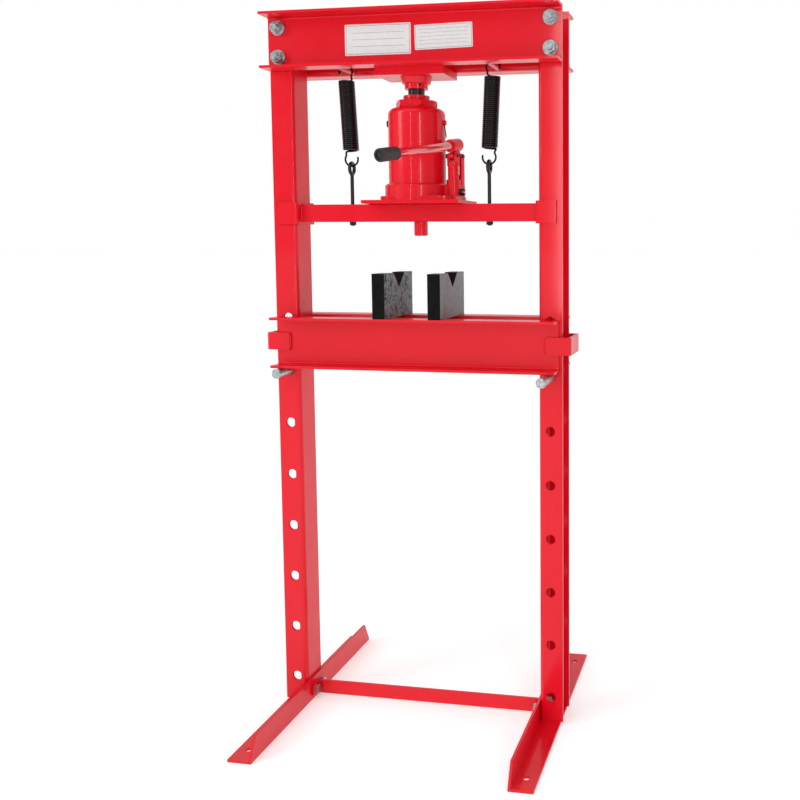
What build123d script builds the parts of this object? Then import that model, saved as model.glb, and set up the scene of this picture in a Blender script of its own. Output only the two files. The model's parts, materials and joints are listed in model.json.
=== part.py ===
from build123d import *
import math
import os

# Floor-standing hydraulic shop press: an H-frame of folded channels, a height-adjustable
# bed on two pins, and a sprung carriage that a bottle jack drives down from under the head.
# Millimetres. +Z is up, X runs across the frame and the operator stands on the -Y side.
# The origin is on the floor at the middle of the two feet.

os.makedirs("parts", exist_ok=True)

# ---------------------------------------------------------------- driving dimensions
FRAME_H = 1255.0  # floor to the top of the posts
PLATE_T = 4.5  # folded steel plate of posts, crossmembers, bed, straps and feet
BEND_R = 7.5  # outside radius of a fold

POST_IN = 222.0  # centre line to the inner face of a post's web
POST_FLANGE = 42.0
POST_DEPTH = 63.0
HOLE_X = 242.0  # column of bed-pin holes in the post flanges
HOLE_R = 8.8
HOLE_FIRST_Z = 48.5
HOLE_PITCH = 96.0
HOLE_COUNT = 8

HEAD_H = 96.0  # crossmember height
HEAD_TOP = 1254.0
HEAD_FLANGE = 40.5
HEAD_BOLT_X = 245.0
HEAD_BOLT_Z = (1181.5, 1232.0)

FOOT_LEN = 500.0
FOOT_LEG_H = 40.0
FOOT_LEG_W = 42.2
FLOOR_HOLE_R = 6.0
FLOOR_HOLE_X = 240.0
FLOOR_HOLE_Y = 215.0
FOOT_BOLT_Y = (-13.0, 16.0)
FOOT_BOLT_Z = 16.5

BED_TOP = 723.5
BED_H = 90.0
BED_LEN = 516.0
BED_GAP = 0.3  # running gap between bed webs and post flanges
STRAP_OUT = 280.3
STRAP_IN = 236.0
STRAP_H = 31.0

PIN_R = 8.7
PIN_LEN = 172.0
PIN_Z = HOLE_FIRST_Z + 6 * HOLE_PITCH

BAR_TOP = 924.0
BAR_H = 31.0
BAR_HALF_Y = 19.0
GUIDE_H = 39.0
GUIDE_OUT = 254.0
GUIDE_GAP = 0.3
JACK_PLATE_T = 6.0
RAM_TIP_Z = 868.0
EYE_X = 127.5

BLOCK_T = 23.0
BLOCK_H = 79.0
BLOCK_HALF_Y = 70.0
BLOCK_X = (-54.0, 46.5)

JACK_X = -4.0  # the jack stands a little left of the centre line
PUMP_X = 64.0
PUMP_Y = -6.0
LEVER_YAW = -12.0  # the handle points at the operator and slightly left
LEVER_DROP = 8.6  # slope of the handle below horizontal when the pump is down
LEVER_PIN_Z = 1007.5
FULCRUM_Y = 18.0  # fulcrum behind the plunger, in the lever's own frame

HEAD_PLATE_Z = 1145.0
SPRING_TOP_X = 135.5
SPRING_LOOP_R = 12.0
SPRING_WIRE_R = 1.7


# ---------------------------------------------------------------- helpers
def block(x0, x1, y0, y1, z0, z1):
    centre = Pos((x0 + x1) / 2, (y0 + y1) / 2, (z0 + z1) / 2)
    return centre * Box(x1 - x0, y1 - y0, z1 - z0)


def rod(start, end, radius):
    a = Vector(*start)
    b = Vector(*end)
    stand = (Align.CENTER, Align.CENTER, Align.MIN)
    return Plane(origin=a, z_dir=b - a) * Cylinder(radius, (b - a).length, align=stand)


def upright(x, y, z0, z1, radius):
    return rod((x, y, z0), (x, y, z1), radius)


def along_x(y, z, x0, x1, radius):
    return rod((x0, y, z), (x1, y, z), radius)


def along_y(x, z, y0, y1, radius):
    return rod((x, y0, z), (x, y1, z), radius)


def mirrored_x(shape):
    return shape.mirror(Plane.YZ)


def mirrored_y(shape):
    return shape.mirror(Plane.XZ)


def folded(points, outer, inner, outer_r, inner_r):
    """Face of a folded strip; outer and inner list the corners that are bends."""
    face = make_face(Polyline(*points, close=True))
    for corners, radius in ((outer, outer_r), (inner, inner_r)):
        for x, y in corners:
            near = [v for v in face.vertices() if math.dist((v.X, v.Y), (x, y)) < 0.01]
            face = fillet(near, radius)
    return face


def channel_face(depth, flange, t):
    """C profile: web on the local Y axis, flanges along +X."""
    points = [
        (0, 0), (flange, 0), (flange, t), (t, t),
        (t, depth - t), (flange, depth - t), (flange, depth), (0, depth),
    ]
    return folded(points, [(0, 0), (0, depth)], [(t, t), (t, depth - t)], BEND_R, BEND_R - t)


def front_channel(length, height, flange, y_back, z_top):
    """Channel lying along X with its web at y_back and its flanges towards the operator."""
    face = channel_face(height, flange, PLATE_T)
    lie = Plane(origin=(-length / 2, y_back, z_top), x_dir=(0, -1, 0), z_dir=(1, 0, 0))
    return lie * extrude(face, amount=length)


def hexagon(across_flats, height):
    face = RegularPolygon(radius=across_flats / math.sqrt(3), side_count=6)
    return extrude(face, amount=height)


def hex_nut(across_flats, height, bore_r):
    body = hexagon(across_flats, height)
    rounder = Cylinder(
        across_flats / math.sqrt(3),
        height,
        align=(Align.CENTER, Align.CENTER, Align.MIN),
    )
    rounder = chamfer(rounder.edges().filter_by(GeomType.CIRCLE), across_flats * 0.05)
    nut = body & rounder
    if bore_r:
        nut -= upright(0, 0, -1, height + 1, bore_r)
    return nut


def save(shape, node):
    shape.label = node
    export_step(shape, "parts/" + node + ".step")


def save_group(shapes, node):
    solids = [s for shape in shapes for s in shape.solids()]
    export_step(Compound(label=node, children=solids), "parts/" + node + ".step")


def lever_place(shape):
    """From the lever's own frame (handle along -Y, pump on the Z axis) to the press."""
    return Pos(PUMP_X, PUMP_Y, 0) * Rot(0, 0, LEVER_YAW) * shape


# ---------------------------------------------------------------- posts
post_z0 = PLATE_T
post = Pos(POST_IN, -POST_DEPTH / 2, post_z0) * extrude(
    channel_face(POST_DEPTH, POST_FLANGE, PLATE_T), amount=FRAME_H - post_z0
)
for n in range(HOLE_COUNT):
    post -= along_y(HOLE_X, HOLE_FIRST_Z + n * HOLE_PITCH, -40, 40, HOLE_R)
for z in HEAD_BOLT_Z:
    post -= along_y(HEAD_BOLT_X, z, -40, 40, 6.5)
for y in FOOT_BOLT_Y:
    post -= along_x(y, FOOT_BOLT_Z, 215, 235, 5.3)
save(post, "post_right")
save(mirrored_x(post), "post_left")

# ---------------------------------------------------------------- head
head_length = 2 * (POST_IN + POST_FLANGE)
web_front = -POST_DEPTH / 2 - PLATE_T
head_front = front_channel(head_length, HEAD_H, HEAD_FLANGE, -POST_DEPTH / 2, HEAD_TOP)
for x in (-HEAD_BOLT_X, HEAD_BOLT_X):
    for z in HEAD_BOLT_Z:
        head_front -= along_y(x, z, -60, -20, 6.5)
save(head_front, "crossmember_front")
save(mirrored_y(head_front), "crossmember_rear")

# Thrust plate welded under both crossmembers; the jack pushes against it.
head_plate = block(
    JACK_X - 62.5, JACK_X + 62.5, -40, 40, HEAD_PLATE_Z, HEAD_TOP - HEAD_H
)
head_plate = chamfer(head_plate.edges().filter_by(Axis.Z), 1.0)
save(head_plate, "head_plate")

# Through bolts of the head: nut to the front, head to the rear, a washer at each end.
washer_t = 2.5
nut_t = 10.0
bolts = []
nuts = []
washers = []
for x in (-HEAD_BOLT_X, HEAD_BOLT_X):
    for z in HEAD_BOLT_Z:
        face_y = web_front - washer_t
        shank = along_y(x, z, face_y - nut_t - 5, -face_y, 6.0)
        head = Plane(origin=(x, -face_y, z), z_dir=(0, 1, 0)) * hex_nut(19, 7.5, 0)
        bolts.append(shank + head)
        nuts.append(Plane(origin=(x, face_y, z), z_dir=(0, -1, 0)) * hex_nut(19, nut_t, 6.05))
        ring = along_y(x, z, face_y, web_front, 13.0) - along_y(x, z, face_y - 1, -30, 6.05)
        washers.append(ring)
        washers.append(mirrored_y(ring))
save_group(bolts, "head_bolts")
save_group(nuts, "head_nuts")
save_group(washers, "head_washers")

# Round bars welded between the crossmember webs; the springs hang from them.
bar_r = 5.0
anchor_z = HEAD_PLATE_Z + 26.0 - SPRING_WIRE_R - 0.3 - bar_r
anchors = [
    along_y(x, anchor_z, -POST_DEPTH / 2, POST_DEPTH / 2, bar_r)
    for x in (-SPRING_TOP_X, SPRING_TOP_X)
]
save_group(anchors, "spring_anchors")

# Blank information plates on the front web.
label_t = 0.6
label_large = block(-120, 0, web_front - label_t, web_front, 1180, 1233)
label_large = fillet(label_large.edges().filter_by(Axis.Y), 2.0)
save(label_large, "label_large")
label_small = block(-51.5, 51.5, web_front - label_t, web_front, -21, 21)
label_small = fillet(label_small.edges().filter_by(Axis.Y), 2.0)
save(Pos(58.5, 0, 1208) * Rot(0, -1.2, 0) * label_small, "label_small")

# ---------------------------------------------------------------- feet and brace
leg_in = POST_IN - PLATE_T
foot_end = FOOT_LEN / 2
leg_slope = 20.0
foot_flat = block(leg_in, leg_in + FOOT_LEG_W, -foot_end, foot_end, 0, PLATE_T)
leg_outline = make_face(
    Polyline(
        (-foot_end, 0), (foot_end, 0), (foot_end, PLATE_T), (foot_end - leg_slope, FOOT_LEG_H),
        (leg_slope - foot_end, FOOT_LEG_H), (-foot_end, PLATE_T), close=True,
    )
)
upright_plane = Plane(origin=(leg_in, 0, 0), x_dir=(0, 1, 0), z_dir=(1, 0, 0))
foot_leg = upright_plane * extrude(leg_outline, amount=PLATE_T)
foot = foot_flat + foot_leg
for y in (-FLOOR_HOLE_Y, FLOOR_HOLE_Y):
    foot -= upright(FLOOR_HOLE_X, y, -1, PLATE_T + 1, FLOOR_HOLE_R)
for y in FOOT_BOLT_Y:
    foot -= along_x(y, FOOT_BOLT_Z, leg_in - 5, POST_IN + 5, 5.3)
save(foot, "foot_right")
save(mirrored_x(foot), "foot_left")

# Flat bar between the feet, its ends folded towards the operator as rounded tabs.
brace_y = 2.5
tab_end = FOOT_BOLT_Y[0] - 12.5
tab_in = leg_in - PLATE_T
brace_face = folded(
    [
        (-leg_in, tab_end), (-tab_in, tab_end), (-tab_in, brace_y - PLATE_T),
        (tab_in, brace_y - PLATE_T), (tab_in, tab_end), (leg_in, tab_end),
        (leg_in, brace_y), (-leg_in, brace_y),
    ],
    [(leg_in, brace_y), (-leg_in, brace_y)],
    [(tab_in, brace_y - PLATE_T), (-tab_in, brace_y - PLATE_T)],
    6.0,
    1.5,
)
brace = Pos(0, 0, FOOT_BOLT_Z - 12.5) * extrude(brace_face, amount=25.0)
tab_corners = [
    e for e in brace.edges().filter_by(Axis.X) if abs(e.center().Y - tab_end) < 0.01
]
brace = fillet(tab_corners, 12.0)
for x in (-leg_in, leg_in):
    brace -= along_x(FOOT_BOLT_Y[0], FOOT_BOLT_Z, x - 10, x + 10, 5.3)
save(brace, "lower_brace")

# Foot bolts: the front one also holds the brace tab.
bolts = []
nuts = []
post_inside = POST_IN + PLATE_T
for y, under_head in zip(FOOT_BOLT_Y, (tab_in, leg_in)):
    shank = along_x(y, FOOT_BOLT_Z, under_head, post_inside + 10.5, 5.0)
    seat = Plane(origin=(under_head, y, FOOT_BOLT_Z), x_dir=(0, 0, 1), z_dir=(-1, 0, 0))
    head = seat * hex_nut(16, 6.4, 0)
    seat = Plane(origin=(post_inside, y, FOOT_BOLT_Z), x_dir=(0, 0, 1), z_dir=(1, 0, 0))
    nut = seat * hex_nut(16, 8, 5.05)
    bolts += [shank + head, mirrored_x(shank + head)]
    nuts += [nut, mirrored_x(nut)]
save_group(bolts, "foot_bolts")
save_group(nuts, "foot_nuts")

# ---------------------------------------------------------------- bed
bed_back = -POST_DEPTH / 2 - BED_GAP
bed_front = front_channel(BED_LEN, BED_H, HEAD_FLANGE, bed_back, BED_TOP)
save(bed_front, "bed_channel_front")
save(mirrored_y(bed_front), "bed_channel_rear")

# Flat straps bent round the outside of each post tie the two bed channels together.
strap_y = -(bed_back - 2 * PLATE_T)
strap_web = strap_y - PLATE_T
strap_face = folded(
    [
        (STRAP_IN, -strap_y), (STRAP_OUT, -strap_y), (STRAP_OUT, strap_y), (STRAP_IN, strap_y),
        (STRAP_IN, strap_web), (STRAP_OUT - PLATE_T, strap_web),
        (STRAP_OUT - PLATE_T, -strap_web), (STRAP_IN, -strap_web),
    ],
    [(STRAP_OUT, -strap_y), (STRAP_OUT, strap_y)],
    [(STRAP_OUT - PLATE_T, strap_web), (STRAP_OUT - PLATE_T, -strap_web)],
    6.0,
    1.5,
)
strap_z = BED_TOP - BED_H / 2 - STRAP_H / 2
strap = Pos(0, 0, strap_z) * extrude(strap_face, amount=STRAP_H)
save(strap, "bed_strap_right")
save(mirrored_x(strap), "bed_strap_left")

# ---------------------------------------------------------------- bed pins
for node, x, front in (("bed_pin_left", -HOLE_X, -83.0), ("bed_pin_right", HOLE_X, -109.0)):
    pin = along_y(x, PIN_Z, front, front + PIN_LEN, PIN_R)
    save(chamfer(pin.edges().filter_by(GeomType.CIRCLE), 1.5), node)

# ---------------------------------------------------------------- V-blocks
notch_half = 27.0
notch_depth = 26.0
notch_y = 2.0
block_top = BED_TOP + BLOCK_H
for node, x in (("v_block_left", BLOCK_X[0]), ("v_block_right", BLOCK_X[1])):
    outline = make_face(
        Polyline(
            (-BLOCK_HALF_Y, BED_TOP), (BLOCK_HALF_Y, BED_TOP), (BLOCK_HALF_Y, block_top),
            (notch_y + notch_half, block_top), (notch_y, block_top - notch_depth),
            (notch_y - notch_half, block_top), (-BLOCK_HALF_Y, block_top), close=True,
        )
    )
    side = Plane(origin=(x - BLOCK_T / 2, 0, 0), x_dir=(0, 1, 0), z_dir=(1, 0, 0))
    save(side * extrude(outline, amount=BLOCK_T), node)

# ---------------------------------------------------------------- carriage
guide_web = POST_IN - GUIDE_GAP - PLATE_T
guide_y = POST_DEPTH / 2 + GUIDE_GAP + PLATE_T
guide_face = folded(
    [
        (guide_web, -guide_y), (GUIDE_OUT, -guide_y), (GUIDE_OUT, PLATE_T - guide_y),
        (guide_web + PLATE_T, PLATE_T - guide_y), (guide_web + PLATE_T, guide_y - PLATE_T),
        (GUIDE_OUT, guide_y - PLATE_T), (GUIDE_OUT, guide_y), (guide_web, guide_y),
    ],
    [(guide_web, -guide_y), (guide_web, guide_y)],
    [(guide_web + PLATE_T, PLATE_T - guide_y), (guide_web + PLATE_T, guide_y - PLATE_T)],
    6.5,
    2.0,
)
bar_mid = BAR_TOP - BAR_H / 2
guide = Pos(0, 0, bar_mid - GUIDE_H / 2) * extrude(guide_face, amount=GUIDE_H)
save(guide, "guide_right")
save(mirrored_x(guide), "guide_left")

press_bar = block(
    -guide_web, guide_web, -BAR_HALF_Y, BAR_HALF_Y, BAR_TOP - BAR_H, BAR_TOP
)
press_bar = chamfer(press_bar.edges().filter_by(Axis.X), 1.0)
for x in (-EYE_X, EYE_X):
    press_bar -= upright(x, 0, BAR_TOP - BAR_H - 1, BAR_TOP + 1, 3.5)
save(press_bar, "press_bar")

jack_plate = block(-88, 88, -58, 58, BAR_TOP, BAR_TOP + JACK_PLATE_T)
for x in (-EYE_X, EYE_X):
    jack_plate -= upright(x, 0, BAR_TOP - 1, BAR_TOP + 20, 6.0)
jack_plate = chamfer(jack_plate.edges().filter_by(Axis.Z), 1.5)
save(jack_plate, "jack_plate")

press_tip = upright(1.0, 0, RAM_TIP_Z, BAR_TOP - BAR_H, 12.0)
tip_edge = [e for e in press_tip.edges().filter_by(GeomType.CIRCLE) if e.center().Z < RAM_TIP_Z + 1]
save(chamfer(tip_edge, 1.5), "press_tip")

# Eye bolts through the bar hold the lower spring hooks.
eye_z = 988.5
eyes = []
nuts = []
for x in (-EYE_X, EYE_X):
    eye = Pos(x, 0, eye_z) * Rot(0, 90, 0) * Torus(10.0, 3.1)
    eyes.append(eye + upright(x, 0, 886, eye_z - 10.0, 3.2))
    nuts.append(Pos(x, 0, BAR_TOP - BAR_H - 5.5) * hex_nut(11, 5.5, 3.25))
save_group(eyes, "eye_bolts")
save_group(nuts, "eye_bolt_nuts")

# ---------------------------------------------------------------- return springs
# Closed-wound extension springs, each one a ribbed tube with a loop at both ends.
coil_r = 12.8
coil_pitch = 3.5
coil_count = 36
loop_low_z = 1005.0
loop_high_z = HEAD_PLATE_Z + 26.0 - SPRING_LOOP_R
lean = math.degrees(math.atan2(SPRING_TOP_X - EYE_X, loop_high_z - loop_low_z))
reach = math.dist((SPRING_TOP_X, loop_high_z), (EYE_X, loop_low_z))
coil_base = (reach - coil_pitch * coil_count) / 2
ribs = [(coil_r - 1.0, coil_base)]
for n in range(coil_count):
    z = coil_base + n * coil_pitch
    ribs += [(coil_r + 0.6, z + 0.3), (coil_r + 1.6, z + 1.75), (coil_r + 0.6, z + 3.2)]
ribs.append((coil_r - 1.0, coil_base + coil_pitch * coil_count))
coil = revolve(Plane.XZ * make_face(Polyline(*ribs, close=True)), Axis.Z)
loop = Rot(90, 0, 0) * Torus(SPRING_LOOP_R, SPRING_WIRE_R)
low_loop = loop + upright(SPRING_LOOP_R, 0, 0, coil_base + 2.0, SPRING_WIRE_R)
high_loop = Pos(0, 0, reach) * (
    loop + upright(-SPRING_LOOP_R, 0, -coil_base - 2.0, 0, SPRING_WIRE_R)
)
spring = Pos(EYE_X, 0, loop_low_z) * Rot(0, lean, 0) * (coil + low_loop + high_loop)
save(spring, "spring_right")
save(mirrored_x(spring), "spring_left")

# ---------------------------------------------------------------- bottle jack: body
base_z = BAR_TOP + JACK_PLATE_T
deck_z = base_z + 29.0
tank_top = deck_z + 132.0
plinth = block(-62, 76, -52, 52, base_z, base_z + 7)
plinth = fillet(plinth.edges().filter_by(Axis.Z), 26.0)
drum = upright(JACK_X, 0, base_z, deck_z, 57.0)
drum_rim = [e for e in drum.edges().filter_by(GeomType.CIRCLE) if e.center().Z > deck_z - 1]
drum = chamfer(drum_rim, 3.0)
boss = upright(PUMP_X, PUMP_Y, base_z, deck_z + 7, 12.5)
rib = block(30, PUMP_X, PUMP_Y - 10, PUMP_Y + 10, base_z, deck_z - 3)
heel = lever_place(block(-9.5, 9.5, 0, 24, base_z, deck_z - 2))
jack_base = plinth + drum + boss + rib + heel
plunger_floor = base_z + 22.0
jack_base -= upright(PUMP_X, PUMP_Y, plunger_floor, deck_z + 10, 5.05)
valve_z = base_z + 14.5
valve_in = PUMP_X + 7.0
jack_base -= along_x(PUMP_Y, valve_z, valve_in - 0.5, valve_in + 15, 4.55)
save(jack_base, "jack_base")

tank_out = upright(JACK_X, 0, deck_z, tank_top, 50.0)
tank_rim = [e for e in tank_out.edges().filter_by(GeomType.CIRCLE) if e.center().Z > deck_z + 9]
tank_out = fillet(tank_rim, 12.0)
tank_in = upright(JACK_X, 0, deck_z - 1, tank_top - 4, 46.0)
tank_roof = [e for e in tank_in.edges().filter_by(GeomType.CIRCLE) if e.center().Z > deck_z + 9]
tank_in = fillet(tank_roof, 8.0)
tank = tank_out - tank_in - upright(JACK_X, 0, tank_top - 5, tank_top + 1, 30.3)
plug_z = tank_top - 25.0
tank -= along_x(0, plug_z, JACK_X - 55, JACK_X - 40, 5.0)
tank -= along_x(0, plug_z, JACK_X + 40, JACK_X + 55, 4.0)
save(tank, "jack_tank")

cylinder = upright(JACK_X, 0, deck_z, tank_top, 30.0)
cylinder -= upright(JACK_X, 0, deck_z - 1, tank_top + 1, 24.05)
save(cylinder, "jack_cylinder")

cap_nut = Pos(JACK_X, 0, tank_top) * hex_nut(66, 13, 19.5)
save(cap_nut, "jack_cap_nut")

wiper_z = tank_top + 13.0
wiper = upright(JACK_X, 0, wiper_z, wiper_z + 4, 21.0)
wiper += upright(JACK_X, 0, wiper_z + 4, wiper_z + 9, 23.0)
wiper -= upright(JACK_X, 0, wiper_z - 1, wiper_z + 10, 19.05)
save(wiper, "jack_wiper_ring")

# Rubber filler plug on the left of the tank, a small steel stud on the right.
plug = along_x(0, plug_z, JACK_X - 53, JACK_X - 44, 4.95)
plug += along_x(0, plug_z, JACK_X - 54.5, JACK_X - 50.3, 6.0)
save(plug, "filler_plug")
stud = along_x(0, plug_z, JACK_X + 44, JACK_X + 52, 3.95)
button = along_x(0, plug_z, JACK_X + 50.2, JACK_X + 54, 4.6)
stud += fillet(button.edges().filter_by(GeomType.CIRCLE), 1.6)
save(stud, "tank_stud")
wire_bend = (JACK_X + 52.5, -5.0, plug_z - 6)
wire = rod((JACK_X + 52, 0, plug_z), wire_bend, 0.9)
wire += rod(wire_bend, (JACK_X + 55.5, -5.0, plug_z - 26), 0.9)
wire += Pos(*wire_bend) * Sphere(0.9)
save(wire - stud, "tank_wire")

# ---------------------------------------------------------------- bottle jack: ram
ram_top = wiper_z + 8.0
ram_foot = deck_z + 6.0
ram = upright(JACK_X, 0, ram_foot, ram_foot + 12, 24.0)
ram += upright(JACK_X, 0, ram_foot, ram_top, 19.0)
screw_foot = ram_foot + 40.0
ram -= upright(JACK_X, 0, screw_foot, ram_top + 1, 14.5)
save(ram, "jack_ram")
saddle_z = wiper_z + 20.5
save(upright(JACK_X, 0, screw_foot, saddle_z, 14.45), "jack_screw")

saddle_mid = saddle_z + 9.5
saddle_top = HEAD_PLATE_Z - 0.1
crown = Pos(JACK_X, 0, saddle_mid) * Cone(
    24.5, 28.0, saddle_top - saddle_mid, align=(Align.CENTER, Align.CENTER, Align.MIN)
)
saddle = upright(JACK_X, 0, saddle_z, saddle_mid, 20.3) + crown
screw_angle = math.radians(-54)
out = (math.cos(screw_angle), math.sin(screw_angle))
screw_z = saddle_z + 6.0
set_screw = rod(
    (JACK_X + 15 * out[0], 15 * out[1], screw_z),
    (JACK_X + 20.8 * out[0], 20.8 * out[1], screw_z),
    2.4,
)
save(saddle - set_screw, "jack_saddle")
save(set_screw, "saddle_set_screw")

# ---------------------------------------------------------------- bottle jack: pump
barrel_top = LEVER_PIN_Z - 11.5
barrel = upright(PUMP_X, PUMP_Y, deck_z + 7, barrel_top, 9.6)
barrel += upright(PUMP_X, PUMP_Y, barrel_top - 6, barrel_top, 10.8)
barrel -= upright(PUMP_X, PUMP_Y, deck_z, barrel_top + 1, 5.05)
save(barrel, "pump_barrel")

ear_in = 4.5
ear_out = 9.5
ear_r = 5.5
fork_z = barrel_top + 0.3
plunger = upright(0, 0, plunger_floor + 1, fork_z + 1, 5.0)
fork = block(-ear_out, ear_out, -ear_r, ear_r, fork_z, LEVER_PIN_Z)
fork += along_x(0, LEVER_PIN_Z, -ear_out, ear_out, ear_r)
fork -= block(-ear_in, ear_in, -ear_r - 1, ear_r + 1, fork_z + 3.2, LEVER_PIN_Z + 10)
plunger = plunger + fork - along_x(0, LEVER_PIN_Z, -20, 20, 3.03)
save(lever_place(plunger), "pump_plunger")
plunger_pin = along_x(0, LEVER_PIN_Z, -ear_out - 3, ear_out + 1.5, 3.0)
plunger_pin += along_x(0, LEVER_PIN_Z, -ear_out - 3.5, -ear_out - 0.2, 4.2)
save(lever_place(plunger_pin), "plunger_pin")

# Fulcrum link stands on the heel of the casting behind the pump barrel.
link_r = 5.3
link = block(
    -ear_out, ear_out, FULCRUM_Y - link_r, FULCRUM_Y + link_r, deck_z - 2, LEVER_PIN_Z
)
link += along_x(FULCRUM_Y, LEVER_PIN_Z, -ear_out, ear_out, link_r)
link -= block(-ear_in, ear_in, FULCRUM_Y - 7, FULCRUM_Y + 7, deck_z + 16, LEVER_PIN_Z + 10)
link -= along_x(FULCRUM_Y, LEVER_PIN_Z, -20, 20, 3.03)
save(lever_place(link), "fulcrum_link")
fulcrum_pin = along_x(FULCRUM_Y, LEVER_PIN_Z, -ear_out - 2, ear_out + 2, 3.0)
save(lever_place(fulcrum_pin), "fulcrum_pin")

# ---------------------------------------------------------------- lever and handle
drop = math.radians(LEVER_DROP)
socket_z = LEVER_PIN_Z + 18.0
aim = (0.0, -math.cos(drop), -math.sin(drop))


def on_handle(distance):
    """Point on the handle's axis, measured from the pump axis towards the grip."""
    return (0.0, aim[1] * distance, socket_z + aim[2] * distance)


socket_back = -18.0
socket_front = 12.0
handle_r = 7.5
socket = rod(on_handle(socket_back), on_handle(socket_front), 11.5)
socket = chamfer(socket.edges().filter_by(GeomType.CIRCLE), 0.8)
lug = block(-4, 4, -2, FULCRUM_Y, LEVER_PIN_Z - 4, socket_z - 3)
lug += along_x(FULCRUM_Y, LEVER_PIN_Z, -4, 4, 6.0)
lug += along_x(-1.8, LEVER_PIN_Z, -4, 4, 6.0)
socket += lug
socket -= rod(on_handle(socket_back + 4), on_handle(socket_front + 5), handle_r + 0.08)
socket -= along_x(FULCRUM_Y, LEVER_PIN_Z, -10, 10, 3.05)
slot_r = 3.4
socket -= along_x(0, LEVER_PIN_Z, -10, 10, slot_r)
socket -= along_x(-1.8, LEVER_PIN_Z, -10, 10, slot_r)
socket -= block(-10, 10, -1.8, 0, LEVER_PIN_Z - slot_r, LEVER_PIN_Z + slot_r)
save(lever_place(socket), "handle_socket")

grip_end = 231.0
grip_len = 46.0
tube = rod(on_handle(socket_back + 4.5), on_handle(grip_end - 5), handle_r)
tube -= rod(on_handle(socket_back), on_handle(grip_end), handle_r - 1.8)
save(lever_place(tube), "handle_tube")
grip = rod(on_handle(grip_end - grip_len), on_handle(grip_end), 10.75)
grip = fillet(grip.edges().filter_by(GeomType.CIRCLE), 1.2)
grip -= rod(on_handle(grip_end - grip_len - 1), on_handle(grip_end + 1), handle_r + 0.02)
save(lever_place(grip), "handle_grip")

# ---------------------------------------------------------------- release valve
valve = along_x(PUMP_Y, valve_z, valve_in, PUMP_X + 13.5, 4.5)
valve += along_x(PUMP_Y, valve_z, PUMP_X + 13, PUMP_X + 20.5, 6.2)
valve -= block(PUMP_X + 17, PUMP_X + 22, PUMP_Y - 10, PUMP_Y + 10, valve_z - 1.5, valve_z + 1.5)
save(valve, "release_valve")
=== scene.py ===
import json
import math
import random

import bpy
from mathutils import Matrix, Vector


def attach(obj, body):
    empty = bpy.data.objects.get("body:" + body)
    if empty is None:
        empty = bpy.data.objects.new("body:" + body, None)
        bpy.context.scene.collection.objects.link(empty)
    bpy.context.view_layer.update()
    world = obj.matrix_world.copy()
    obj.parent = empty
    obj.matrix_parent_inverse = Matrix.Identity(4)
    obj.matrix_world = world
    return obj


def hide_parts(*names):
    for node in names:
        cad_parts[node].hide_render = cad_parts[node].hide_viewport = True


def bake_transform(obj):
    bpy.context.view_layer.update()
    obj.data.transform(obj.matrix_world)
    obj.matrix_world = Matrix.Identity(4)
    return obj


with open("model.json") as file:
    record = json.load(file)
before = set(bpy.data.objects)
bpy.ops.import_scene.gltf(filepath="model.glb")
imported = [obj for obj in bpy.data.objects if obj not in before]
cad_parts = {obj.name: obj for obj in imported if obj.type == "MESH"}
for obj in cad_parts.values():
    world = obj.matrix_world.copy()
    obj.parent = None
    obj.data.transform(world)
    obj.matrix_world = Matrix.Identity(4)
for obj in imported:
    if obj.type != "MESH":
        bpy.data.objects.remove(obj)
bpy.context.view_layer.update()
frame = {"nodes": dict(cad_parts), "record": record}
NODES = frame["nodes"]
MM = 0.001


# ------------------------------------------------------------------ node helpers
def linear(r, g, b):
    """sRGB 0-255 to a linear colour."""

    def one(c):
        c = c / 255
        return c / 12.92 if c <= 0.04045 else ((c + 0.055) / 1.055) ** 2.4

    return (one(r), one(g), one(b), 1.0)


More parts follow.
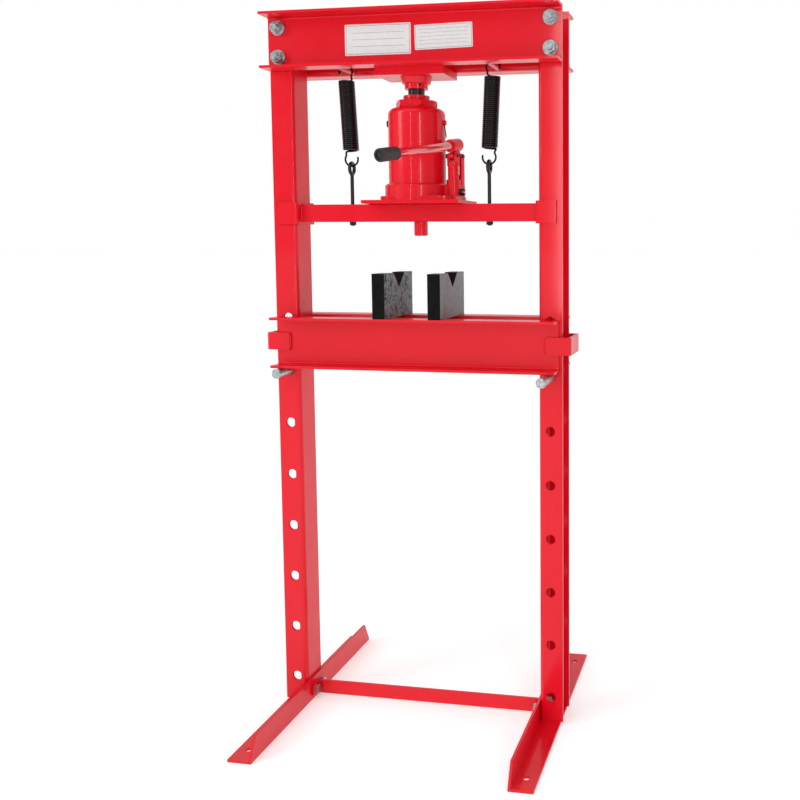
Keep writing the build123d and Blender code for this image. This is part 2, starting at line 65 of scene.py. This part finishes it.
class Tree:
    """Small wrapper that builds one node material."""

    def __init__(self, name, **shader):
        self.mat = bpy.data.materials.new(name)
        self.mat.use_nodes = True
        self.nodes = self.mat.node_tree.nodes
        self.links = self.mat.node_tree.links
        self.bsdf = self.nodes["Principled BSDF"]
        for key, value in shader.items():
            self.bsdf.inputs[key.replace("_", " ")].default_value = value
        self.coord = self.add("ShaderNodeTexCoord").outputs["Object"]

    def add(self, kind, **settings):
        node = self.nodes.new(kind)
        for key, value in settings.items():
            setattr(node, key, value)
        return node

    def link(self, source, target):
        self.links.new(source, target)
        return target

    def scaled(self, x, y, z):
        node = self.add("ShaderNodeMapping")
        node.inputs["Scale"].default_value = (x, y, z)
        self.link(self.coord, node.inputs["Vector"])
        return node.outputs["Vector"]

    def noise(self, scale, detail=4.0, rough=0.55, vector=None, distortion=0.0):
        node = self.add("ShaderNodeTexNoise")
        node.inputs["Scale"].default_value = scale
        node.inputs["Detail"].default_value = detail
        node.inputs["Roughness"].default_value = rough
        node.inputs["Distortion"].default_value = distortion
        self.link(vector or self.coord, node.inputs["Vector"])
        return node.outputs["Fac"]

    def voronoi(self, scale):
        node = self.add("ShaderNodeTexVoronoi", feature="F1")
        node.inputs["Scale"].default_value = scale
        self.link(self.coord, node.inputs["Vector"])
        return node.outputs["Distance"]

    def wave(self, scale, axis, distortion):
        node = self.add("ShaderNodeTexWave", bands_direction=axis, wave_profile="SIN")
        node.inputs["Scale"].default_value = scale
        node.inputs["Distortion"].default_value = distortion
        self.link(self.coord, node.inputs["Vector"])
        return node.outputs["Fac"]

    def ramp(self, source, stops):
        node = self.add("ShaderNodeValToRGB")
        elements = node.color_ramp.elements
        while len(elements) < len(stops):
            elements.new(0.5)
        for element, (place, colour) in zip(elements, stops):
            element.position = place
            element.color = colour if len(colour) == 4 else (*colour, 1.0)
        self.link(source, node.inputs["Fac"])
        return node.outputs["Color"]

    def remap(self, source, low, high, out_low=0.0, out_high=1.0):
        node = self.add("ShaderNodeMapRange", clamp=True)
        for key, value in (
            ("From Min", low),
            ("From Max", high),
            ("To Min", out_low),
            ("To Max", out_high),
        ):
            node.inputs[key].default_value = value
        self.link(source, node.inputs["Value"])
        return node.outputs["Result"]

    def math(self, operation, a, b=None):
        node = self.add("ShaderNodeMath", operation=operation)
        for slot, value in zip(node.inputs, (a, b)):
            if value is None:
                continue
            if isinstance(value, (int, float)):
                slot.default_value = value
            else:
                self.link(value, slot)
        return node.outputs[0]

    def mix(self, factor, a, b):
        node = self.add("ShaderNodeMix", data_type="RGBA", blend_type="MIX")
        for slot, value in ((node.inputs[0], factor), (node.inputs[6], a), (node.inputs[7], b)):
            if isinstance(value, (int, float)):
                slot.default_value = value
            elif isinstance(value, tuple):
                slot.default_value = value if len(value) == 4 else (*value, 1.0)
            else:
                self.link(value, slot)
        return node.outputs[2]

    def bump(self, height, strength, distance, normal=None):
        node = self.add("ShaderNodeBump")
        node.inputs["Strength"].default_value = strength
        node.inputs["Distance"].default_value = distance
        self.link(height, node.inputs["Height"])
        if normal is not None:
            self.link(normal, node.inputs["Normal"])
        return node.outputs["Normal"]

    def rounded(self, radius):
        node = self.add("ShaderNodeBevel", samples=4)
        node.inputs["Radius"].default_value = radius
        return node.outputs["Normal"]

    def edge(self, radius):
        """1 along sharp edges, 0 on flat faces."""
        geometry = self.add("ShaderNodeNewGeometry")
        dot = self.add("ShaderNodeVectorMath", operation="DOT_PRODUCT")
        self.link(self.rounded(radius), dot.inputs[0])
        self.link(geometry.outputs["Normal"], dot.inputs[1])
        away = self.math("SUBTRACT", 1.0, dot.outputs["Value"])
        return self.remap(away, 0.02, 0.35)

    def out(self, **sockets):
        for key, source in sockets.items():
            self.link(source, self.bsdf.inputs[key.replace("_", " ")])
        return self.mat


# ------------------------------------------------------------------ materials
def red_paint(name, texture=1.0, cast=0.0, **gloss):
    """Glossy powder coat: orange peel, faint tone change, edges painted paler: partly thin-paint
    wear, partly a painted highlight.
    """
    shader = {
        "Metallic": 0.0,
        "Specular_IOR_Level": 0.22,
        "Coat_Weight": 0.30,
        "Coat_Roughness": 0.07,
    }
    t = Tree(name, **{**shader, **gloss})
    tone = t.noise(7.0, 3.0)
    fine = t.noise(900.0, 2.0)
    base = t.ramp(tone, [(0.25, linear(216, 3, 27)), (0.75, linear(226, 6, 34))])
    speck = t.remap(t.noise(420.0, 2.0), 0.70, 0.78)
    base = t.mix(t.math("MULTIPLY", speck, 0.25), base, linear(150, 6, 16))
    # edges painted paler pink: partly thin-paint wear, partly a painted highlight along folds and
    # edges
    edge_wear_and_highlight = t.math("MULTIPLY", t.edge(0.0012), t.remap(t.noise(60.0), 0.35, 0.65, 0.25, 0.8))
    base = t.mix(edge_wear_and_highlight, base, linear(240, 50, 60))
    rough = t.remap(t.noise(35.0, 4.0), 0.3, 0.7, 0.30, 0.40)
    peel = t.bump(t.noise(330.0, 2.0, 0.45), 0.10 * texture, 0.0012, t.rounded(0.0009))
    normal = t.bump(fine, 0.05 * texture, 0.0004, peel)
    if cast:
        normal = t.bump(t.noise(210.0, 5.0, 0.7), cast, 0.0012, normal)
    return t.out(Base_Color=base, Roughness=rough, Normal=normal)


def zinc_plate(name):
    """Dull cool zinc plating, speckled with grime, its edges darkened as painted shade."""
    t = Tree(name, Metallic=1.0)
    mottle = t.noise(240.0, 4.0, 0.6)
    base = t.ramp(
        mottle,
        [
            (0.30, linear(140, 147, 150)),
            (0.55, linear(190, 197, 200)),
            (0.75, linear(212, 216, 212)),
        ],
    )
    grime = t.remap(t.noise(130.0, 5.0, 0.7), 0.58, 0.72)
    base = t.mix(t.math("MULTIPLY", grime, 0.60), base, linear(58, 58, 56))
    # painted shade: edges darkened to copy the dark shading on the nut chamfers
    base = t.mix(t.math("MULTIPLY", t.edge(0.0010), 0.55), base, linear(70, 72, 74))
    rough = t.remap(t.noise(300.0, 3.0), 0.3, 0.7, 0.24, 0.42)
    normal = t.bump(t.noise(800.0, 2.0), 0.12, 0.0003, t.rounded(0.0005))
    return t.out(Base_Color=base, Roughness=rough, Normal=normal)


def black_oxide(name):
    """Blackened steel: oily dark film, brown-grey where it has rubbed."""
    t = Tree(name, Metallic=0.55, Coat_Weight=0.2, Coat_Roughness=0.25)
    mottle = t.noise(160.0, 4.0, 0.6)
    base = t.ramp(mottle, [(0.3, linear(18, 18, 19)), (0.7, linear(38, 37, 36))])
    base = t.mix(t.math("MULTIPLY", t.edge(0.0008), 0.6), base, linear(120, 116, 110))
    roughness = t.remap(t.noise(90.0), 0.3, 0.7, 0.28, 0.42)
    normal = t.bump(t.noise(500.0, 3.0), 0.10, 0.0004, t.rounded(0.0005))
    return t.out(Base_Color=base, Roughness=roughness, Normal=normal)


def spring_wire(name):
    """Black enamelled spring wire, glossy with drawn-wire lines."""
    t = Tree(name, Metallic=0.0, Specular_IOR_Level=0.15, Coat_Weight=0.35, Coat_Roughness=0.08)
    mottle = t.noise(300.0, 3.0)
    base = t.ramp(mottle, [(0.3, linear(4, 4, 5)), (0.7, linear(11, 11, 12))])
    roughness = t.remap(t.noise(120.0), 0.3, 0.7, 0.22, 0.34)
    normal = t.bump(t.noise(900.0, 2.0), 0.10, 0.0003)
    return t.out(Base_Color=base, Roughness=roughness, Normal=normal)


def forged_block(name, scaled):
    """Heat-blackened steel: black ends and notch, grey sides with flaked scale, ground lands; the
    grey of the sides is partly a painted reflection.
    """
    t = Tree(name, Metallic=0.0, Specular_IOR_Level=0.10)
    geometry = t.add("ShaderNodeNewGeometry")
    split = t.add("ShaderNodeSeparateXYZ")
    t.link(geometry.outputs["Normal"], split.inputs["Vector"])
    scale = t.noise(85.0, 6.0, 0.72, distortion=0.4)
    dark = t.ramp(scale, [(0.35, linear(3, 3, 4)), (0.75, linear(16, 17, 19))])
    side = t.ramp(
        t.noise(300.0, 5.0, 0.7), [(0.3, linear(112, 120, 124)), (0.7, linear(148, 157, 161))]
    )
    edge_of_scale = 0.56 - 0.06 * scaled
    patches = t.noise(95.0, 7.0, 0.72, distortion=1.2)
    flakes = t.remap(patches, edge_of_scale, edge_of_scale + 0.06)
    side = t.mix(t.math("MULTIPLY", flakes, 0.25 + 0.65 * scaled), side, linear(14, 14, 16))
    # side faces chosen by normal direction: grey ground finish, partly a painted reflection that
    # makes the sides lighter than the black ends
    side_finish_and_sheen = t.remap(t.math("ABSOLUTE", split.outputs["X"]), 0.5, 0.8)
    base = t.mix(side_finish_and_sheen, dark, side)
    grind = t.noise(1.0, 3.0, 0.5, t.scaled(1400, 40, 40))
    ground = t.ramp(grind, [(0.3, linear(96, 98, 100)), (0.7, linear(150, 153, 154))])
    base = t.mix(t.remap(split.outputs["Z"], 0.9, 0.97), base, ground)
    base = t.mix(t.math("MULTIPLY", t.edge(0.0010), 0.40), base, linear(150, 152, 153))
    rough = t.remap(scale, 0.3, 0.7, 0.40, 0.60)
    lumps = t.bump(scale, 0.22, 0.0012, t.rounded(0.0009))
    normal = t.bump(t.remap(t.voronoi(210.0), 0.05, 0.30), 0.10, 0.0006, lumps)
    return t.out(Base_Color=base, Roughness=rough, Normal=normal)


def turned_steel(name):
    """Bare turned and oiled steel: fine rings around the vertical axis."""
    t = Tree(name, Metallic=1.0)
    rings = t.wave(520.0, "Z", 1.2)
    tone = t.noise(120.0, 4.0)
    base = t.ramp(tone, [(0.3, linear(52, 51, 50)), (0.7, linear(96, 95, 93))])
    base = t.mix(t.math("MULTIPLY", rings, 0.18), base, linear(150, 150, 150))
    rough = t.remap(t.noise(200.0), 0.3, 0.7, 0.16, 0.30)
    normal = t.bump(rings, 0.18, 0.0003, t.rounded(0.0005))
    return t.out(Base_Color=base, Roughness=rough, Normal=normal)


def black_rubber(name):
    """Matt moulded rubber with a fine grain."""
    t = Tree(name, Metallic=0.0)
    tone = t.noise(180.0, 3.0)
    base = t.ramp(tone, [(0.3, linear(24, 24, 24)), (0.7, linear(42, 41, 40))])
    rough = t.remap(t.noise(90.0), 0.3, 0.7, 0.48, 0.66)
    normal = t.bump(t.noise(1200.0, 3.0), 0.25, 0.0004, t.rounded(0.0006))
    return t.out(Base_Color=base, Roughness=rough, Normal=normal)


def label_face(name):
    """Satin white film, faintly uneven."""
    t = Tree(name, Metallic=0.0, Coat_Weight=0.25, Coat_Roughness=0.2)
    tone = t.noise(160.0, 4.0)
    base = t.ramp(tone, [(0.3, linear(214, 223, 223)), (0.7, linear(224, 232, 232))])
    rough = t.remap(t.noise(150.0), 0.3, 0.7, 0.30, 0.42)
    normal = t.bump(t.noise(260.0, 3.0), 0.06, 0.0004)
    return t.out(Base_Color=base, Roughness=rough, Normal=normal)


def print_ink(name, colour):
    """Screen-printed line, slightly broken."""
    t = Tree(name, Metallic=0.0)
    broken = t.noise(1500.0, 2.0)
    base = t.ramp(
        broken,
        [(0.25, linear(*colour)), (0.8, linear(*[min(255, c + 60) for c in colour]))],
    )
    rough = t.remap(t.noise(200.0), 0.3, 0.7, 0.42, 0.55)
    return t.out(Base_Color=base, Roughness=rough)


def floor_paint(name):
    t = Tree(name, Metallic=0.0)
    tone = t.noise(2.0, 3.0)
    base = t.ramp(tone, [(0.3, linear(240, 240, 240)), (0.7, linear(245, 245, 245))])
    rough = t.remap(t.noise(12.0), 0.3, 0.7, 0.55, 0.65)
    t.bsdf.inputs["Emission Color"].default_value = (1.0, 1.0, 1.0, 1.0)
    t.bsdf.inputs["Emission Strength"].default_value = 0.34
    return t.out(Base_Color=base, Roughness=rough)


RED = red_paint("paint_red")
RED_CAST = red_paint("paint_red_casting", texture=1.4, cast=0.22)
RED_GLOSS = red_paint(
    "paint_red_gloss", texture=0.5, Coat_Weight=1.0, Coat_Roughness=0.05, Coat_IOR=2.4
)
ZINC = zinc_plate("zinc")
OXIDE = black_oxide("black_oxide")
SPRING = spring_wire("spring_enamel")
FORGED = forged_block("forged_steel_scaled", 1.0)
FORGED_SMOOTH = forged_block("forged_steel_smooth", 0.0)
TURNED = turned_steel("turned_steel")
RUBBER = black_rubber("rubber")
LABEL = label_face("label_film")
INK = print_ink("label_ink", (120, 96, 96))

FINISH = {
    "red_paint": RED,
    "zinc": ZINC,
    "black_steel": OXIDE,
    "spring_black": SPRING,
    "forged_steel": FORGED,
    "ram_steel": TURNED,
    "rubber_black": RUBBER,
    "label_white": LABEL,
}
CAST_NODES = {"jack_base", "handle_socket", "fulcrum_link", "jack_cap_nut"}
OWN_FINISH = {name: RED_CAST for name in CAST_NODES}
OWN_FINISH["v_block_right"] = FORGED_SMOOTH
OWN_FINISH["handle_tube"] = RED_GLOSS


SLOT_OF = {part["node"]: part["material_slot"] for part in frame["record"]["subparts"]}


def paint(obj, mat):
    obj.data.materials.clear()
    obj.data.materials.append(mat)


for node_name, node in NODES.items():
    paint(node, OWN_FINISH.get(node_name, FINISH[SLOT_OF[node_name]]))


# ------------------------------------------------------------------ mesh helpers
def make(name, verts, faces, mat, slot_name, body=None, smooth=True):
    mesh = bpy.data.meshes.new(name)
    mesh.from_pydata([tuple(v) for v in verts], [], faces)
    mesh.validate()
    mesh.update()
    for polygon in mesh.polygons:
        polygon.use_smooth = smooth
    obj = bpy.data.objects.new(name, mesh)
    bpy.context.scene.collection.objects.link(obj)
    mesh.materials.append(mat)
    if body:
        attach(obj, body)
    return obj


def frames_along(points):
    """A side vector pair at each point of a path, turned as little as possible."""
    tangents = []
    for i, point in enumerate(points):
        before = points[max(0, i - 1)]
        after = points[min(len(points) - 1, i + 1)]
        tangents.append((after - before).normalized())
    first = tangents[0].orthogonal().normalized()
    sides = [first]
    for i in range(1, len(points)):
        turn = tangents[i - 1].rotation_difference(tangents[i])
        sides.append((turn @ sides[-1]).normalized())
    return [(s, t.cross(s).normalized()) for s, t in zip(sides, tangents)]


def tube(points, radius, around):
    """Round tube along points. radius is a number or one number per point."""
    points = [Vector(p) for p in points]
    radii = radius if isinstance(radius, list) else [radius] * len(points)
    verts, faces = [], []
    for point, (a, b), r in zip(points, frames_along(points), radii):
        for k in range(around):
            angle = 2 * math.pi * k / around
            verts.append(point + r * (math.cos(angle) * a + math.sin(angle) * b))
    for i in range(len(points) - 1):
        for k in range(around):
            j = (k + 1) % around
            faces.append(
                (i * around + k, i * around + j, (i + 1) * around + j, (i + 1) * around + k)
            )
    faces.append(tuple(reversed(range(around))))
    last = (len(points) - 1) * around
    faces.append(tuple(last + k for k in range(around)))
    return verts, faces


def joined(parts):
    """Several (verts, faces) as one."""
    verts, faces = [], []
    for v, f in parts:
        start = len(verts)
        verts += v
        faces += [tuple(i + start for i in face) for face in f]
    return verts, faces


def thread(origin, direction, length, radius, pitch, depth):
    """Helical ridge standing on a shank of that radius, in mm."""
    origin = Vector(origin)
    axis = Vector(direction).normalized()
    u = axis.orthogonal().normalized()
    v = axis.cross(u)
    around = 28
    turns = length / pitch
    steps = int(turns * around)
    profile = ((-0.42, -0.15), (-0.10, depth), (0.10, depth), (0.42, -0.15))
    verts, faces = [], []
    for i in range(steps + 1):
        angle = 2 * math.pi * i / around
        out = math.cos(angle) * u + math.sin(angle) * v
        along = pitch * i / around
        fade = min(1.0, i / 10, (steps - i) / 10)
        for offset, rise in profile:
            lift = rise * fade if rise > 0 else rise
            p = origin + axis * (along + offset * pitch) + out * (radius + lift)
            verts.append(p * MM)
    n = len(profile)
    for i in range(steps):
        for k in range(n - 1):
            faces.append((i * n + k, i * n + k + 1, (i + 1) * n + k + 1, (i + 1) * n + k))
    return verts, faces


def weld(points, width, seed):
    """Rippled weld bead along a polyline of points in mm."""
    ripple = 2.6
    rng = random.Random(seed)
    points = [Vector(p) for p in points]
    path, distance = [], 0.0
    step = ripple / 6
    for a, b in zip(points, points[1:]):
        length = (b - a).length
        count = max(2, int(length / step))
        for i in range(count):
            path.append((a.lerp(b, i / count), distance + length * i / count))
        distance += length
    path.append((points[-1], distance))
    wander = [rng.uniform(-0.12, 0.12) for _ in range(int(distance / ripple) + 3)]
    centres, radii = [], []
    for point, along in path:
        cell = along / ripple
        crown = abs(math.sin(math.pi * cell))
        k = int(cell)
        size = width * (0.82 + 0.18 * crown + 0.2 * wander[k])
        end = min(1.0, (along + 0.4) / width, (distance - along + 0.4) / width)
        centres.append((point + Vector((wander[k], wander[k + 1], wander[k])) * 0.4) * MM)
        radii.append(max(0.15, size * math.sqrt(max(0.05, end))) * MM)
    return tube(centres, radii, around=10)


# ------------------------------------------------------------------ return springs
def smooth01(t):
    t = min(1.0, max(0.0, t))
    return t * t * (3 - 2 * t)


EYE_X, TOP_X = 127.5, 135.5
LOOP_LOW_Z, LOOP_HIGH_Z = 1005.0, 1159.0
LOOP_R, COIL_R, COIL_PITCH, WIRE_R = 12.0, 12.75, 3.5, 1.77
REACH = math.hypot(TOP_X - EYE_X, LOOP_HIGH_Z - LOOP_LOW_Z)


def hook(join, tip, steps, centre_z):
    """Arc of the end hook in the XZ plane, from coil side to open tip, angles in degrees."""
    out = []
    for i in range(steps + 1):
        angle = math.radians(join + (tip - join) * i / steps)
        out.append((LOOP_R * math.cos(angle), 0.0, centre_z + LOOP_R * math.sin(angle)))
    return out


def spring_path(side):
    """Wire centre line: lower open hook, closed coil, upper hook, leaned to its anchor."""
    turns = 36
    base = (REACH - COIL_PITCH * turns) / 2
    low = list(reversed(hook(38, -196, 40, 0.0)))
    start = Vector(low[-1])
    around = 40
    total = turns - 1.0
    steps = int(total * around)
    points = list(low)
    ease = 16
    first = Vector((COIL_R * math.cos(0.9), COIL_R * math.sin(0.9), base + 1.5))
    for i in range(1, ease):
        t = smooth01(i / ease)
        angle = 0.9 * i / ease
        ring = Vector((COIL_R * math.cos(angle), COIL_R * math.sin(angle), 0))
        flat = Vector((start.x, 0, 0)).lerp(ring, t)
        points.append(
            (
                flat.x,
                flat.y,
                start.z + (first.z - start.z) * math.sin(math.pi / 2 * i / ease),
            )
        )
    for i in range(steps + 1):
        angle = 0.9 + 2 * math.pi * i / around
        points.append(
            (
                COIL_R * math.cos(angle),
                COIL_R * math.sin(angle),
                base + 1.5 + COIL_PITCH * i / around,
            )
        )
    last = Vector(points[-1])
    end_angle = 0.9 + 2 * math.pi * steps / around
    high = hook(218, -16, 40, REACH)
    goal = Vector(high[0])
    sweep = (math.pi - end_angle) % (2 * math.pi)
    for i in range(1, ease):
        t = smooth01(i / ease)
        angle = end_angle + sweep * i / ease
        ring = Vector((COIL_R * math.cos(angle), COIL_R * math.sin(angle), 0))
        flat = ring.lerp(Vector((goal.x, 0, 0)), t)
        rise = 1 - math.cos(math.pi / 2 * i / ease)
        points.append((flat.x, flat.y, last.z + (goal.z - last.z) * rise))
    points += high
    lean = math.atan2(TOP_X - EYE_X, LOOP_HIGH_Z - LOOP_LOW_Z)
    place = Matrix.Translation((EYE_X, 0, LOOP_LOW_Z)) @ Matrix.Rotation(lean, 4, "Y")
    placed = [place @ Vector(p) for p in points]
    if side < 0:
        placed = [Vector((-p.x, p.y, p.z)) for p in placed]
    return [p * MM for p in placed]


for side, node_name in ((1, "spring_right"), (-1, "spring_left")):
    wire_verts, wire_faces = tube(spring_path(side), WIRE_R * MM, around=10)
    coil = make(node_name + "_coil", wire_verts, wire_faces, SPRING, "spring_black")
    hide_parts(node_name)
    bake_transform(coil)


# ------------------------------------------------------------------ threads
bolt_threads = []
for x in (-245.0, 245.0):
    for z in (1181.5, 1232.0):
        bolt_threads.append(thread((x, -53.2, z), (0, 1, 0), 5.6, 5.7, 1.5, 0.35))
head_threads = make("head_bolt_threads", *joined(bolt_threads), ZINC, "zinc", "frame")

eye_threads = [
    thread((x, 0, 886.3), (0, 0, 1), 6.0, 3.05, 1.0, 0.25) for x in (-127.5, 127.5)
]
make("eye_bolt_threads", *joined(eye_threads), OXIDE, "black_steel", "carriage")


# ------------------------------------------------------------------ handle grip
lever_yaw, lever_drop = math.radians(-12.0), math.radians(8.6)
aim = Matrix.Rotation(lever_yaw, 3, "Z") @ Vector((0, -math.cos(lever_drop), -math.sin(lever_drop)))
grip_root = Vector((64.0, -6.0, 1025.5))
cup_profile = ((231.2, 8.6), (228.5, 7.9), (226.4, 7.3), (226.2, 0.0))
cup_verts, cup_faces = [], []
cup_side = aim.orthogonal().normalized()
cup_up = aim.cross(cup_side)
for along, r in cup_profile:
    for k in range(24):
        angle = 2 * math.pi * k / 24
        out = math.cos(angle) * cup_side + math.sin(angle) * cup_up
        cup_verts.append((grip_root + aim * along + out * r) * MM)
for i in range(len(cup_profile) - 1):
    for k in range(24):
        j = (k + 1) % 24
        cup_faces.append((i * 24 + k, i * 24 + j, (i + 1) * 24 + j, (i + 1) * 24 + k))
make("handle_grip_cup", cup_verts, cup_faces, RUBBER, "rubber_black", "handle")


# ------------------------------------------------------------------ labels
def strip(x0, x1, z0, z1, y, centre=None, turn=0.0):
    """Thin flat printed bar facing the front, in mm."""
    corners = [(x0, z0), (x1, z0), (x1, z1), (x0, z1)]
    verts = []
    for depth in (y, y + 0.05):
        for x, z in corners:
            p = Vector((x, depth, z))
            if centre:
                c = Vector((centre[0], depth, centre[1]))
                p = c + Matrix.Rotation(turn, 3, "Y") @ (p - c)
            verts.append(p * MM)
    faces = [(0, 1, 2, 3), (7, 6, 5, 4), (0, 4, 5, 1), (1, 5, 6, 2), (2, 6, 7, 3), (3, 7, 4, 0)]
    return verts, faces


def frame_lines(x0, x1, z0, z1, inset, width, y, **where):
    a, b, c, d = x0 + inset, x1 - inset, z0 + inset, z1 - inset
    return [
        strip(a, b, c, c + width, y, **where),
        strip(a, b, d - width, d, y, **where),
        strip(a, a + width, c + width, d - width, y, **where),
        strip(b - width, b, c + width, d - width, y, **where),
    ]


LARGE = (-120, 0, 1180, 1233)
SMALL = (7, 110, 1187, 1229)
label_y = -36.66
large = frame_lines(*LARGE, 2.2, 0.7, label_y)
for n in range(3):
    z = 1218 - 11.5 * n
    large.append(strip(-108, -12, z, z + 0.55, label_y))
make("label_large_lines", *joined(large), INK, "label_white", "frame", smooth=False)

where = {"centre": (58.5, 1208.0), "turn": math.radians(-1.2)}
small = frame_lines(*SMALL, 1.8, 0.6, label_y, **where)
for n in range(5):
    z = 1221 - 6.2 * n
    small.append(strip(14, 103, z, z + 0.4, label_y, **where))
make("label_small_lines", *joined(small), INK, "label_white", "frame", smooth=False)


# ------------------------------------------------------------------ weld beads
def add_weld(name, runs, body, width, seed):
    parts = [weld(run, width, seed * 31 + i) for i, run in enumerate(runs)]
    return make(name, *joined(parts), RED, "red_paint", body)


guide_runs = []
for s in (-1, 1):
    guide_runs.append([(s * 217.0, -19.2, 894), (s * 217.0, -19.2, 922)])
    guide_runs.append([(s * 217.0, 19.2, 894), (s * 217.0, 19.2, 922)])
    guide_runs.append([(s * 217.0, -17, 924.2), (s * 217.0, 17, 924.2)])
add_weld("weld_guides", guide_runs, "carriage", 2.2, 3)

strap_runs = []
for s in (-1, 1):
    for y in (-37.8, 37.8):
        strap_runs.append([(s * 235.2, y, 665), (s * 235.2, y, 692)])
add_weld("weld_straps", strap_runs, "bed", 2.0, 7)

head_runs = []
for y in (-40.2, 40.2):
    head_runs.append([(-62, y * 0.78, 1157.7), (-40, y * 0.78, 1157.7)])
    head_runs.append([(32, y * 0.78, 1157.7), (54, y * 0.78, 1157.7)])
add_weld("weld_head_plate", head_runs, "frame", 2.0, 5)


# ------------------------------------------------------------------ stage
def disc(name, radius):
    """Plain round floor."""
    around = 96
    verts = [(0, 0, -0.0005)]
    for k in range(around):
        a = 2 * math.pi * k / around
        verts.append((radius * math.cos(a), radius * math.sin(a), -0.0005))
    faces = [(0, 1 + k, 1 + (k + 1) % around) for k in range(around)]
    mesh = bpy.data.meshes.new(name)
    mesh.from_pydata(verts, [], faces)
    mesh.update()
    obj = bpy.data.objects.new(name, mesh)
    bpy.context.scene.collection.objects.link(obj)
    mesh.materials.append(floor_paint("floor_paint"))
    return obj


FLOOR_RADIUS = 60.0
disc("studio_floor", FLOOR_RADIUS)


def area(name, place, target, size, power):
    light = bpy.data.lights.new(name, "AREA")
    light.shape = "RECTANGLE"
    light.size, light.size_y = size
    light.energy = power
    obj = bpy.data.objects.new(name, light)
    obj.location = place
    obj.rotation_euler = (Vector(target) - Vector(place)).to_track_quat("-Z", "Y").to_euler()
    bpy.context.scene.collection.objects.link(obj)
    return obj


sun = bpy.data.lights.new("soft_overhead", "SUN")
sun.energy = 1.25
sun.angle = 1.4
overhead = bpy.data.objects.new("soft_overhead", sun)
overhead.rotation_euler = Vector((0.30, 0.50, -1.0)).to_track_quat("-Z", "Y").to_euler()
bpy.context.scene.collection.objects.link(overhead)

area("key_front", (-3.2, -2.6, 2.2), (0, 0, 0.8), (1.2, 1.8), 38)
area("strip_right", (1.60, -2.65, 1.25), (0, 0, 0.95), (0.26, 1.5), 13)
area("strip_thin", (-0.30, -3.0, 1.25), (0, 0, 0.95), (0.08, 1.5), 5)
area("side_right", (3.0, 0.8, 1.5), (0, 0, 0.7), (1.2, 2.0), 14)

world = bpy.data.worlds.new("studio")
world.use_nodes = True
sky = world.node_tree


def sky_light(strength):
    node = sky.nodes.new("ShaderNodeBackground")
    node.inputs["Color"].default_value = (1.0, 1.0, 1.0, 1.0)
    node.inputs["Strength"].default_value = strength
    return node


def sky_choice(flag, when_off, when_on):
    node = sky.nodes.new("ShaderNodeMixShader")
    sky.links.new(path.outputs[flag], node.inputs["Fac"])
    sky.links.new(when_off, node.inputs[1])
    sky.links.new(when_on, node.inputs[2])
    return node.outputs["Shader"]


path = sky.nodes.new("ShaderNodeLightPath")
backdrop = sky_light(1.0)
ambient = sky_light(0.36)
mirrored = sky_light(1.0)
direction = sky.nodes.new("ShaderNodeTexCoord")
parts = sky.nodes.new("ShaderNodeSeparateXYZ")
front_to_back = sky.nodes.new("ShaderNodeMapRange")
for key, value in (("From Min", -0.9), ("From Max", 0.3), ("To Min", 0.10), ("To Max", 0.80)):
    front_to_back.inputs[key].default_value = value
sky.links.new(direction.outputs["Generated"], parts.inputs["Vector"])
sky.links.new(parts.outputs["Y"], front_to_back.inputs["Value"])
sky.links.new(front_to_back.outputs["Result"], mirrored.inputs["Strength"])
lit = sky_choice("Is Diffuse Ray", mirrored.outputs[0], ambient.outputs[0])
seen = sky_choice("Is Camera Ray", lit, backdrop.outputs[0])
sky.links.new(seen, sky.nodes["World Output"].inputs["Surface"])
bpy.context.scene.world = world
bpy.context.scene.view_settings.view_transform = "Standard"

# ------------------------------------------------------------------ camera
camera_data = bpy.data.cameras.new("view")
camera_data.sensor_width = 36.0
FOCAL_PIXELS = 955.3
camera_data.lens = FOCAL_PIXELS * camera_data.sensor_width / 800
camera_data.shift_x = -0.22
camera_data.shift_y = -0.10
camera_data.clip_end = 60
camera = bpy.data.objects.new("view", camera_data)
camera.location = (0.5765, -1.6359, 0.8650)
yaw, pitch = 0.1782, -0.0861
forward = Vector(
    (-math.sin(yaw) * math.cos(pitch), math.cos(yaw) * math.cos(pitch), math.sin(pitch))
)
camera.rotation_euler = forward.to_track_quat("-Z", "Y").to_euler()
bpy.context.scene.collection.objects.link(camera)
bpy.context.scene.camera = camera
